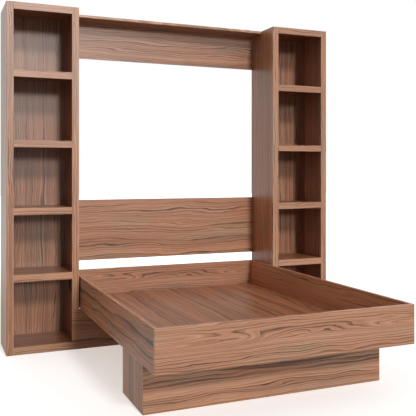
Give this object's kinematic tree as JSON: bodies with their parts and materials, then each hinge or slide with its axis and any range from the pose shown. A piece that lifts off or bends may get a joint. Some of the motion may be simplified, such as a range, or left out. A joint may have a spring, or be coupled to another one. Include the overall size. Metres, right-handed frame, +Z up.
{
  "type": "wall bed",
  "caption": "Fold-down wall bed hung between bookcase towers, with a box leg under its foot and spiral-spring pivots let into the tower sides",
  "frame": {"origin": "on the floor, at the centre of the overall box of the opened bed and its cabinet", "axes": "+Z up, +Y towards the wall that the cabinet stands against (the wall is the plane y = 0.985), +X to the right of someone who stands at the foot of the bed and faces the wall"},
  "size_m": [2.342, 1.97, 2.275],
  "materials": {
    "walnut_veneer": "walnut veneer under clear satin lacquer",
    "softwood": "planed, unfinished",
    "zinc_steel": "zinc plated",
    "spring_steel": "tempered strip, lightly oiled",
    "bush_plastic": "moulded, self-lubricating",
    "cover_plastic": "moulded, dark brown"
  },
  "bodies": {
    "cabinet": {"base_back_rail": "walnut_veneer", "canopy_back_rail": "walnut_veneer", "canopy_board": "walnut_veneer", "counterbalance_springs": "spring_steel", "headboard_panel": "walnut_veneer", "kickboard": "walnut_veneer", "left_spring_can": "zinc_steel", "left_tower_back_panel": "walnut_veneer", "left_tower_floor_board": "walnut_veneer", "left_tower_inner_side": "walnut_veneer", "left_tower_inner_stile": "walnut_veneer", "left_tower_outer_side": "walnut_veneer", "left_tower_outer_stile": "walnut_veneer", "left_tower_plinth_rail": "walnut_veneer", "left_tower_shelf_1": "walnut_veneer", "left_tower_shelf_2": "walnut_veneer", "left_tower_shelf_3": "walnut_veneer", "left_tower_shelf_4": "walnut_veneer", "left_tower_shelf_fronts": "walnut_veneer", "left_tower_top_board": "walnut_veneer", "left_tower_top_rail": "walnut_veneer", "pivot_bushes": "bush_plastic", "right_spring_can": "zinc_steel", "right_tower_back_panel": "walnut_veneer", "right_tower_floor_board": "walnut_veneer", "right_tower_inner_side": "walnut_veneer", "right_tower_inner_stile": "walnut_veneer", "right_tower_outer_side": "walnut_veneer", "right_tower_outer_stile": "walnut_veneer", "right_tower_plinth_rail": "walnut_veneer", "right_tower_shelf_1": "walnut_veneer", "right_tower_shelf_2": "walnut_veneer", "right_tower_shelf_3": "walnut_veneer", "right_tower_shelf_4": "walnut_veneer", "right_tower_shelf_fronts": "walnut_veneer", "right_tower_top_board": "walnut_veneer", "right_tower_top_rail": "walnut_veneer", "spring_can_screws": "zinc_steel", "spring_covers": "cover_plastic", "wall_brackets": "zinc_steel"},
    "bed": {"bed_left_rail": "walnut_veneer", "bed_right_rail": "walnut_veneer", "deck_battens": "softwood", "deck_panel": "walnut_veneer", "end_deck_ledgers": "softwood", "foot_board": "walnut_veneer", "head_rail": "walnut_veneer", "left_deck_ledger": "softwood", "left_pivot_arm": "zinc_steel", "leg_back_board": "walnut_veneer", "leg_cleats": "softwood", "leg_corner_blocks": "softwood", "leg_front_board": "walnut_veneer", "leg_left_end": "walnut_veneer", "leg_right_end": "walnut_veneer", "pivot_arm_screws": "zinc_steel", "right_deck_ledger": "softwood", "right_pivot_arm": "zinc_steel"}
  },
  "joints": [
    {"name": "bed_fold", "type": "hinge", "parent": "cabinet", "child": "bed", "pos_m": [0, 0.81, 0.405], "axis": [-1, 0, 0], "range_deg": [0, 90], "deforming": ["counterbalance_springs"]}
  ]
}
